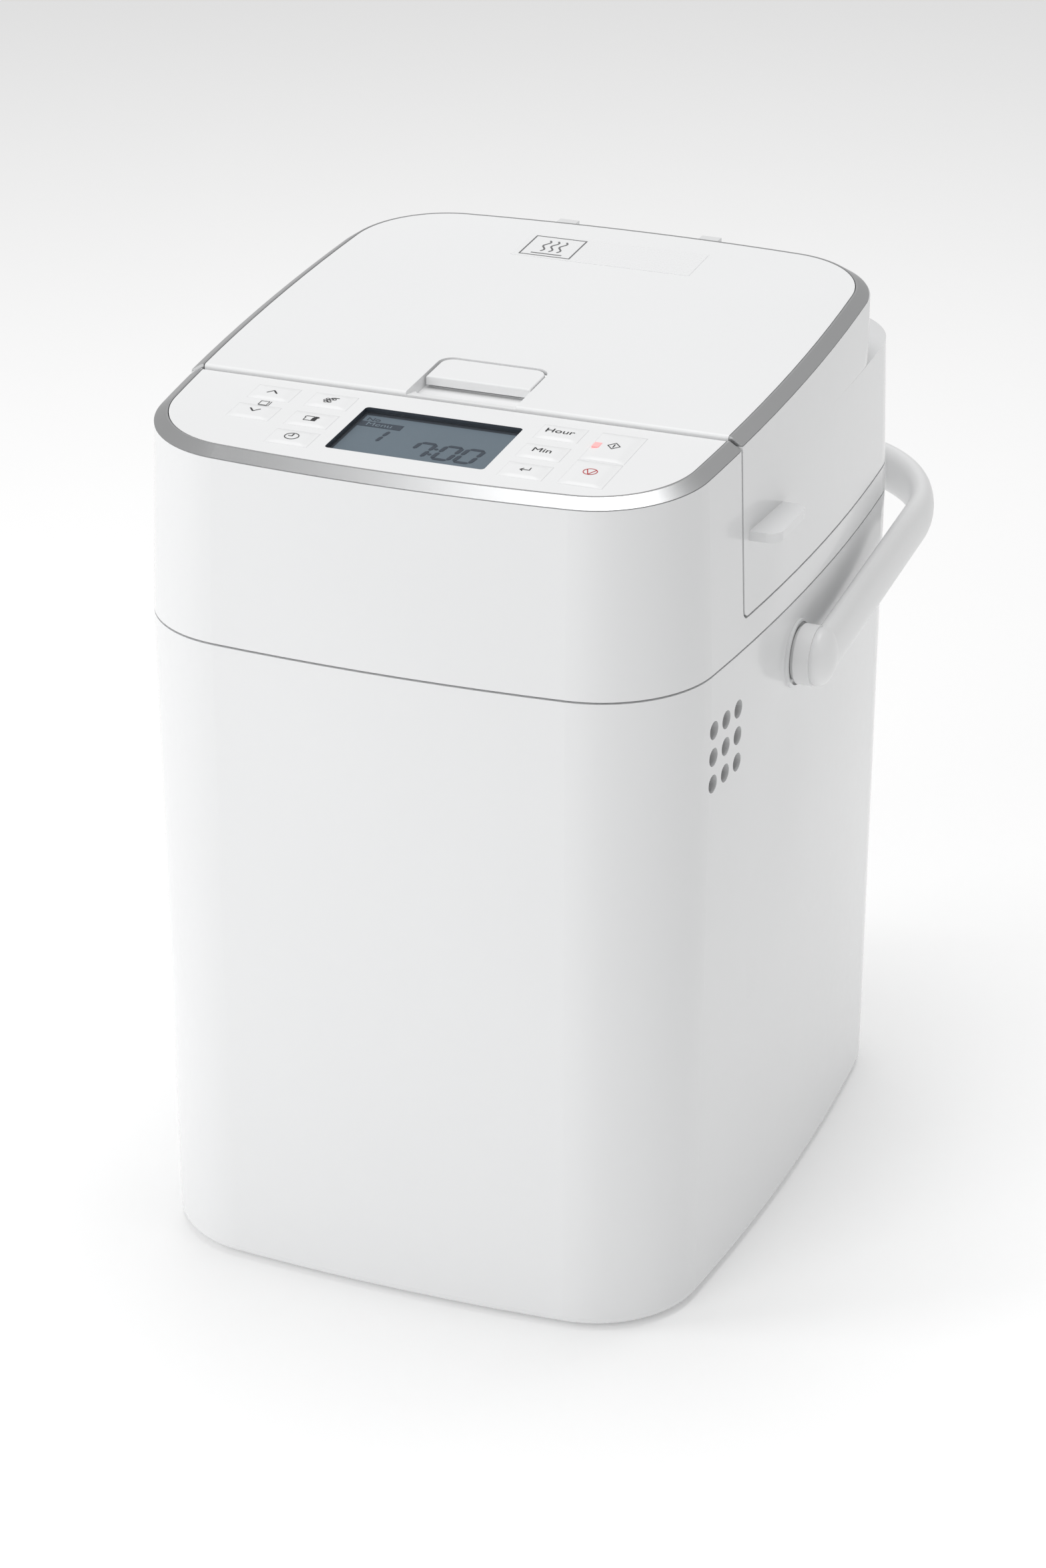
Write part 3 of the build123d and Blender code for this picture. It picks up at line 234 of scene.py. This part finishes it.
def ribbon(builder, points, width, lift, rise, closed=False, thickness=INK_DEPTH):
    """Flat printed line of constant width through points on the sloping top."""
    count = len(points)
    left, right = [], []
    for i, point in enumerate(points):
        here = Vector(point)
        before = Vector(points[i - 1]) if (i or closed) else here
        after = Vector(points[(i + 1) % count]) if (i < count - 1 or closed) else here
        first = (here - before).normalized() if before != here else (after - here).normalized()
        second = (after - here).normalized() if after != here else first
        normal_a = Vector((-first.y, first.x))
        normal_b = Vector((-second.y, second.x))
        mitre = (normal_a + normal_b).normalized()
        reach = width / 2 / max(MITRE_LIMIT, mitre.dot(normal_a))
        left.append(here + mitre * reach)
        right.append(here - mitre * reach)
    rings = []
    for height in (lift, lift + thickness):
        rings.append([[builder.verts.new(top_point(p.x, p.y, height, rise)) for p in side]
                      for side in (left, right)])
    low, high = rings
    for i in range(count if closed else count - 1):
        j = (i + 1) % count
        builder.faces.new((high[0][i], high[0][j], high[1][j], high[1][i]))
        builder.faces.new((low[0][i], low[1][i], low[1][j], low[0][j]))
        for side in (0, 1):
            builder.faces.new((low[side][i], low[side][j], high[side][j], high[side][i]))
    if not closed:
        for i in (0, count - 1):
            builder.faces.new((low[0][i], high[0][i], high[1][i], low[1][i]))


def patch(builder, points, lift, rise, thickness=INK_DEPTH):
    """Flat filled outline on the sloping top."""
    low = [builder.verts.new(top_point(x, y, lift, rise)) for x, y in points]
    high = [builder.verts.new(top_point(x, y, lift + thickness, rise)) for x, y in points]
    count = len(points)
    builder.faces.new(high)
    builder.faces.new(low[::-1])
    for i in range(count):
        j = (i + 1) % count
        builder.faces.new((low[i], low[j], high[j], high[i]))


def ring(centre, radius_x, radius_y=None, count=28):
    """Points round an ellipse."""
    radius_y = radius_y or radius_x
    angles = [2 * pi * i / count for i in range(count)]
    return [(centre[0] + radius_x * cos(a), centre[1] + radius_y * sin(a)) for a in angles]


def shifted(points, centre):
    """The same points, moved by a centre."""
    return [(x + centre[0], y + centre[1]) for x, y in points]


# ------------------------------------------------------------------ keys and their marks
# The soft film over each key is one crowned sheet that hides the key's edge. Its top is in
# millimetres across and in metres up, like top_point
BUMP_HEIGHT = 0.00055
FRONT_SHOULDER = 2.0
BACK_SHOULDER = FRONT_SHOULDER * 1.3
SIDE_SHOULDER = FRONT_SHOULDER * 2.2
KEY_FLANGE = 1.4
FILM_MARGIN = 0.8
FILM_UNDER = 0.000005
FILM_EDGE = 0.000015
FILM_COLUMNS, FILM_ROWS = 40, 30
KEY_SPOTS = {}
for name in sorted(n for n in nodes if n.startswith("key_")):
    low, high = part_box(name)
    middle = (low + high) / 2
    KEY_SPOTS[name] = ((middle.x / MM, (middle.y - HOUSING_Y) / MM),
                       ((high.x - low.x) / MM - KEY_FLANGE, (high.y - low.y) / MM - KEY_FLANGE))


def smooth(value):
    """Ease from 0 to 1, level at both ends."""
    value = min(1.0, max(0.0, value))
    return value * value * (3 - 2 * value)


def key_bump(name, body):
    """Crowned film over a key, thin at its rim."""
    centre, size = KEY_SPOTS[name]
    columns, rows = FILM_COLUMNS, FILM_ROWS
    half_x = size[0] / 2 + FILM_MARGIN
    half_y = size[1] / 2 + FILM_MARGIN
    builder = bmesh.new()
    top, under = [], []
    for r in range(rows + 1):
        y = -half_y + 2 * half_y * r / rows
        for c in range(columns + 1):
            x = -half_x + 2 * half_x * c / columns
            side_fall = smooth((half_x - abs(x)) / SIDE_SHOULDER)
            front_fall = smooth((y + half_y) / FRONT_SHOULDER)
            back_fall = smooth((half_y - y) / BACK_SHOULDER)
            height = BUMP_HEIGHT * side_fall * front_fall * back_fall
            place = (centre[0] + x, centre[1] + y)
            top.append(builder.verts.new(top_point(*place, FILM_EDGE + height)))
            under.append(builder.verts.new(top_point(*place, FILM_UNDER)))
    wide = columns + 1
    for r in range(rows):
        for c in range(columns):
            a = r * wide + c
            quad = (a, a + 1, a + wide + 1, a + wide)
            builder.faces.new([top[i] for i in quad]).smooth = True
            builder.faces.new([under[i] for i in reversed(quad)])
    rim = list(range(columns)) + [columns + r * wide for r in range(rows)]
    rim += [rows * wide + columns - c for c in range(columns)]
    rim += [(rows - r) * wide for r in range(rows)]
    for i, a in enumerate(rim):
        b = rim[(i + 1) % len(rim)]
        builder.faces.new((under[a], under[b], top[b], top[a]))
    bump = piece_from(name + "_film", builder, white_matte, body)
    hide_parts(name)
    return bump


for key_name in KEY_SPOTS:
    key_bump(key_name, key_name)

# Printed marks, with line widths in millimetres
MARK_LIFT = BUMP_HEIGHT + 0.00007
FINE = 0.26
THIN = 0.34
BOLD = 0.6


def mark(name, body, drawing, material=ink, lift=MARK_LIFT, rise=0.0):
    """Printed mark: a list of (kind, points, width) drawn flat."""
    builder = bmesh.new()
    for kind, points, width in drawing:
        if kind == "fill":
            patch(builder, points, lift, rise)
        else:
            ribbon(builder, points, width, lift, rise, closed=(kind == "loop"))
    return piece_from(name, builder, material, body)


UP_MARK = (-67.9, -83.2)
mark("mark_up", "key_up", [("line", shifted([(-2.0, -1.2), (0, 1.2)], UP_MARK), THIN),
                           ("line", shifted([(0, 1.2), (2.0, -1.2)], UP_MARK), BOLD)])
DOWN_MARK = (-67.5, -100.0)
mark("mark_down", "key_down", [("line", shifted([(-2.0, 1.2), (0, -1.2)], DOWN_MARK), BOLD),
                               ("line", shifted([(0, -1.2), (2.0, 1.2)], DOWN_MARK), THIN)])
SIZE_MARK = (-67.0, -92.3)
mark("mark_size", "root", [
    ("loop", shifted([(-1.9, -1.6), (1.3, -1.6), (1.3, 1.6), (-1.9, 1.6)], SIZE_MARK), FINE),
    ("line", shifted([(2.1, 1.7), (2.1, -1.8), (1.5, -2.2)], SIZE_MARK), FINE),
    ("line", shifted([(-1.7, -2.2), (1.6, -2.2)], SIZE_MARK), 0.3)], lift=0.00003)
GRAPE_MARK = (-44.8, -83.6)
GRAPE_RADIUS = 0.62
GRAPES = shifted([(-1.3, -1.6), (-1.9, -0.4), (-0.5, -0.5), (-1.4, 0.8), (0.0, 0.7), (1.2, 0.9),
                  (0.2, -1.5)], GRAPE_MARK)
mark("mark_raisin", "key_raisin",
     [("loop", ring(grape, GRAPE_RADIUS, count=14), FINE) for grape in GRAPES]
     + [("line", shifted([(-0.4, 1.6), (0.8, 2.1), (2.6, 2.2)], GRAPE_MARK), 0.4)])
CRUST_MARK = (-44.6, -100.8)
mark("mark_crust", "key_crust", [
    ("loop", shifted([(-2.4, -1.7), (0.5, -1.7), (0.5, 0.6), (0.9, 1.1), (0.6, 1.8), (-2.3, 1.8),
                      (-2.8, 1.1), (-2.4, 0.6)], CRUST_MARK), 0.28),
    ("fill", shifted([(0.7, -1.8), (2.2, -1.8), (2.2, 0.6), (2.8, 1.1), (2.4, 1.9), (0.9, 1.9),
                      (1.1, 1.1), (0.7, 0.5)], CRUST_MARK), 0)])
CLOCK_MARK = (-44.7, -117.0)
mark("mark_timer", "key_timer", [
    ("loop", ring(CLOCK_MARK, 2.6, 2.5), THIN),
    ("line", shifted([(-1.5, 0.2), (0, 0)], CLOCK_MARK), THIN),
    ("line", shifted([(0, 0), (0.1, 1.9)], CLOCK_MARK), 0.5)])
ENTER_MARK = (44.8, -117.0)
mark("mark_enter", "key_enter", [
    ("line", shifted([(1.5, 1.8), (1.5, -0.3), (-1.9, -0.3)], ENTER_MARK), THIN),
    ("line", shifted([(-0.8, 0.8), (-1.9, -0.3), (-0.8, -1.4)], ENTER_MARK), THIN)])
START_MARK = (66.8, -88.8)
mark("mark_start", "key_start", [
    ("loop", shifted([(0, -2.5), (2.3, 0), (0, 2.5), (-2.3, 0)], START_MARK), 0.32),
    ("line", shifted([(0, -1.3), (0, 1.3)], START_MARK), 0.42)])
STOP_MARK = (66.8, -111.6)
mark("mark_stop", "key_stop", [
    ("loop", ring(STOP_MARK, 2.5, 2.4), 0.3),
    ("line", shifted([(-1.7, 1.7), (-0.1, -2.2), (1.8, 1.7)], STOP_MARK), THIN)],
     material=ink_red)

LAMP_MARK = (60.6, -89.6)
lamp_outline = shifted([(-1.3, -2.0), (1.3, -2.0), (1.3, 2.0), (-1.3, 2.0)], LAMP_MARK)
builder = bmesh.new()
patch(builder, lamp_outline, MARK_LIFT, 0)
piece_from("start_lamp_window", builder, lamp_glow, "key_start")


WORD_EXTRUDE = 0.00002


def words(name, text, centre, height, material, body, lift, width_scale=1.0):
    """Generic word set flat on the sloping top, as a mesh."""
    curve = bpy.data.curves.new(name, "FONT")
    curve.body = text
    curve.size = height
    curve.align_x = "CENTER"
    curve.align_y = "CENTER"
    curve.extrude = WORD_EXTRUDE
    holder = bpy.data.objects.new(name + "_curve", curve)
    bpy.context.scene.collection.objects.link(holder)
    bpy.context.view_layer.update()
    depsgraph = bpy.context.evaluated_depsgraph_get()
    mesh = bpy.data.meshes.new_from_object(holder.evaluated_get(depsgraph))
    bpy.data.objects.remove(holder)
    mesh.name = name
    origin = top_point(*centre, lift + WORD_EXTRUDE)
    turn = Matrix((Vector((1, 0, 0)), BACK, UP)).transposed().to_4x4()
    mesh.transform(Matrix.Translation(origin) @ turn @ Matrix.Diagonal((width_scale, 1, 1, 1)))
    piece = bpy.data.objects.new(name, mesh)
    bpy.context.scene.collection.objects.link(piece)
    mesh.materials.clear()
    mesh.materials.append(material)
    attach(piece, body)
    return piece


for key, text, centre in (("hour", "Hour", (44.2, -83.2)), ("minute", "Min", (44.3, -100.3))):
    words("mark_" + key, text, centre, 0.0046, ink, "key_" + key, MARK_LIFT,
          width_scale=1.12)

# ------------------------------------------------------------------ display
WINDOW_CENTRE = (0.0, -102.2)
FIELD_LIFT = -0.0021
# Lift and thickness of the painted shade sheet round the display field
SHADE_SHEET_LIFT = FIELD_LIFT - 0.00006
SHADE_SHEET_DEPTH = 0.00004
SEGMENT_LIFT = FIELD_LIFT + 0.00012
builder = bmesh.new()
field = [(-29.2, -17.2), (29.9, -17.2), (29.9, 16.2), (-29.2, 16.2)]
patch(builder, shifted(field, WINDOW_CENTRE), FIELD_LIFT, 0)
piece_from("display_field", builder, display, "root")
# Dark frame round the display field: a sheet of painted shade for the shadow of the recess walls
builder = bmesh.new()
surround = [(-30.3, -18.4), (30.3, -18.4), (30.3, 18.4), (-30.3, 18.4)]
patch(builder, shifted(surround, WINDOW_CENTRE), SHADE_SHEET_LIFT, 0, SHADE_SHEET_DEPTH)
piece_from("painted_recess_shade", builder, painted_recess_shade, "root")

SEGMENTS = {"a": ((0, 2), (1, 2)), "b": ((1, 1), (1, 2)), "c": ((1, 0), (1, 1)),
            "d": ((0, 0), (1, 0)), "e": ((0, 0), (0, 1)), "f": ((0, 1), (0, 2))}
DIGITS = {"7": "abcf", "0": "abcdef", "1": "bc"}
LEAN = 0.14
POINT_LENGTH = 0.62
TIP_GAP = 0.12


def digit(builder, value, corner, width, height, stroke):
    """Seven-segment digit, leaning forward, from bars with pointed ends."""
    for name in DIGITS[value]:
        (x0, y0), (x1, y1) = SEGMENTS[name]
        start = Vector((x0 * width, y0 * height / 2))
        end = Vector((x1 * width, y1 * height / 2))
        along = (end - start).normalized()
        across = Vector((-along.y, along.x)) * stroke / 2
        gap = along * stroke * POINT_LENGTH
        tip = along * stroke * TIP_GAP
        start_in = start + gap
        end_in = end - gap
        bar = [start + tip, start_in + across, end_in + across, end - tip, end_in - across,
               start_in - across]
        points = [(corner[0] + p.x + LEAN * p.y, corner[1] + p.y) for p in reversed(bar)]
        patch(builder, points, SEGMENT_LIFT, 0)


builder = bmesh.new()
TIME_Y = -113.6
for value, x in (("7", -2.6), ("0", 7.4), ("0", 15.8)):
    digit(builder, value, (x, TIME_Y), 6.0, 11.4, 1.6)
for y in (2.9, 7.6):
    colon_dot = ring((5.2 + LEAN * y, y + TIME_Y), 0.75, count=12)
    patch(builder, colon_dot, SEGMENT_LIFT, 0)
digit(builder, "1", (-21.4, -106.4), 4.4, 9.4, 1.4)
bar = [(-29.1, 6.9), (-12.6, 6.9), (-12.6, 11.0), (-29.1, 11.0)]
patch(builder, shifted(bar, WINDOW_CENTRE), SEGMENT_LIFT, 0)
piece_from("display_digits", builder, segment, "root")
words("display_menu", "Menu", (-21.4, -93.3), 0.0040, segment_pale, "root",
      SEGMENT_LIFT + 0.00006, width_scale=1.15)
words("display_no", "No", (-25.2, -89.2), 0.0036, segment, "root", SEGMENT_LIFT,
      width_scale=1.15)

# ------------------------------------------------------------------ sticker with a plain steam mark
STICKER_CENTRE = (0.0, 79.0)
STICKER_LIFT = 0.00002
STICKER_DEPTH = 0.00010
STEAM_LIFT = 0.00013
STEAM_WIDTH = 0.75
sticker_film = textured("sticker_film", (0.83, 0.834, 0.838), 0.28, grain=900, bump=0.02,
                        shade=0.005)
builder = bmesh.new()
sticker_outline = shifted([(-37, -11.5), (37, -11.5), (37, 11.5), (-37, 11.5)], STICKER_CENTRE)
patch(builder, sticker_outline, STICKER_LIFT, LID_RISE, STICKER_DEPTH)
piece_from("sticker_film", builder, sticker_film, "dispenser_cover")
steam = []
for start_x in (-27.0, -23.6, -20.2):
    wave = [(start_x + 0.9 * sin(2 * pi * i / 12), -5.0 + 11.0 * i / 18) for i in range(19)]
    steam.append(("line", shifted(wave, STICKER_CENTRE), STEAM_WIDTH))
steam.append(("line", shifted([(-30.0, -7.4), (-17.2, -7.4)], STICKER_CENTRE), STEAM_WIDTH))
frame_points = shifted([(-34, -9.6), (-13.2, -9.6), (-13.2, 9.6), (-34, 9.6)], STICKER_CENTRE)
steam.append(("loop", frame_points, 0.6))
mark("mark_steam", "dispenser_cover", steam, material=ink_grey, lift=STEAM_LIFT, rise=LID_RISE)

# ------------------------------------------------------------------ floor, light and camera
FLOOR_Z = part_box("feet")[0].z
bpy.ops.mesh.primitive_plane_add(size=14, location=(0, 0, FLOOR_Z))
floor = bpy.context.object
floor.name = "floor"
floor_material = textured("floor_white", (0.95, 0.95, 0.95), 0.9, grain=40, bump=0.0, shade=0.002)
floor.data.materials.append(floor_material)
floor_shader = floor_material.node_tree.nodes["Principled BSDF"]
floor_shader.inputs["Emission Color"].default_value = (1, 1, 1, 1)
floor_shader.inputs["Emission Strength"].default_value = 0.12

scene = bpy.context.scene
scene.view_settings.view_transform = "Standard"
world = bpy.data.worlds.new("studio")
scene.world = world
world.use_nodes = True
background = world.node_tree.nodes["Background"]
background.inputs["Color"].default_value = (1, 1, 1, 1)
background.inputs["Strength"].default_value = 0.43


def softbox(name, place, aim, size, power):
    """Rectangular area light turned towards a point."""
    light = bpy.data.lights.new(name, "AREA")
    light.shape = "RECTANGLE"
    light.size = size[0]
    light.size_y = size[1]
    light.energy = power
    lamp = bpy.data.objects.new(name, light)
    scene.collection.objects.link(lamp)
    lamp.location = place
    lamp.rotation_euler = (Vector(aim) - Vector(place)).to_track_quat("-Z", "Y").to_euler()
    return lamp


softbox("left_light", (-1.9, -1.1, 0.9), (0, 0, 0.18), (0.7, 1.6), 12)
softbox("front_light", (-0.6, -2.3, 1.2), (0, 0, 0.18), (1.6, 1.2), 14)
softbox("top_light", (0.0, 0.3, 2.2), (0, 0, 0.3), (1.4, 1.4), 22)
softbox("right_light", (2.2, -0.3, 1.3), (0, 0, 0.15), (0.8, 1.2), 1.5)

CAMERA_TARGET = Vector((-0.0040, HOUSING_Y, 0.1538))
CAMERA_AZIMUTH = radians(22.24)
CAMERA_ELEVATION = radians(24.71)
CAMERA_DISTANCE = 1.6382
camera_data = bpy.data.cameras.new("camera")
camera_data.sensor_fit = "VERTICAL"
camera_data.sensor_height = 36
camera_data.lens = 95.81
camera = bpy.data.objects.new("camera", camera_data)
scene.collection.objects.link(camera)
direction = Vector((sin(CAMERA_AZIMUTH) * cos(CAMERA_ELEVATION),
                    -cos(CAMERA_AZIMUTH) * cos(CAMERA_ELEVATION), sin(CAMERA_ELEVATION)))
camera.location = CAMERA_TARGET + direction * CAMERA_DISTANCE
camera.rotation_euler = (-direction).to_track_quat("-Z", "Y").to_euler()
scene.camera = camera
